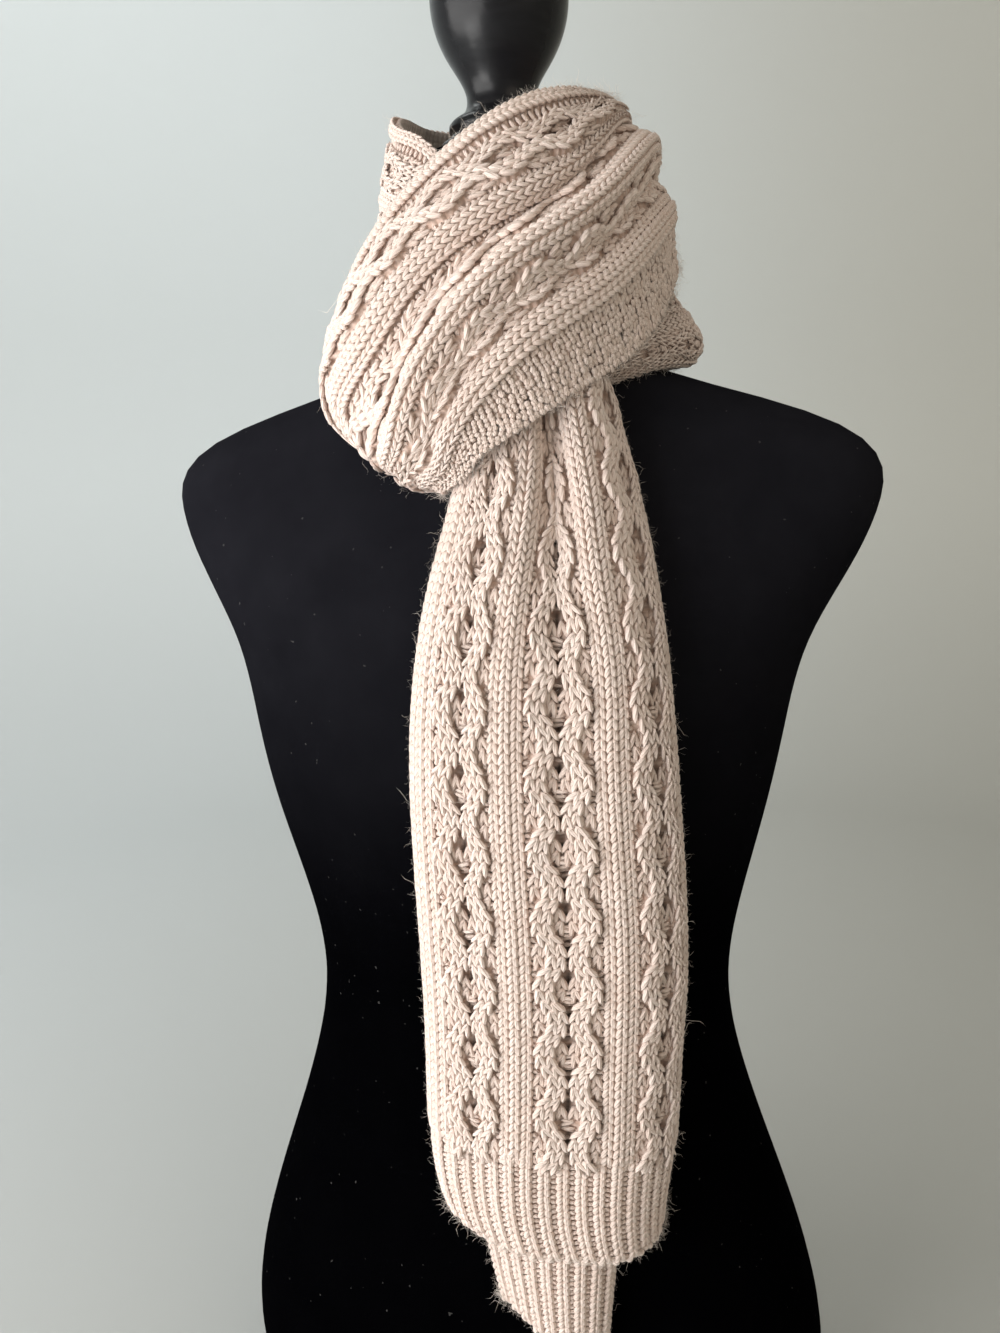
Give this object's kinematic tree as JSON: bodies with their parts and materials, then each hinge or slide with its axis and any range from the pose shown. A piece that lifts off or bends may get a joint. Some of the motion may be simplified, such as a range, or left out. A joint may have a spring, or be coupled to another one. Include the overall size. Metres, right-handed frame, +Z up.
{
  "type": "knit scarf on a limbless dress form",
  "caption": "Cable-knit scarf doubled and pulled through its own loop round the neck of a limbless dress form with a turned ball cap.",
  "frame": {"origin": "middle of the dress form's flat base, on the surface it stands on", "axes": "+Z up the form, -Y out of its chest, +X to its own left, where the front loop starts"},
  "size_m": [0.392, 0.2616, 0.858],
  "materials": {
    "knit": "warm cream wool, plied yarn with a soft halo",
    "jersey": "black velour jersey stretched smooth",
    "cap": "turned wood in glossy black paint"
  },
  "bodies": {
    "root": {"torso": "jersey", "neck_cap": "cap", "front_band": "knit", "nape_upper": "knit", "left_upper": "knit", "right_lower": "knit", "nape_lower": "knit", "front_tail": "knit", "back_tail": "knit"}
  },
  "joints": []
}
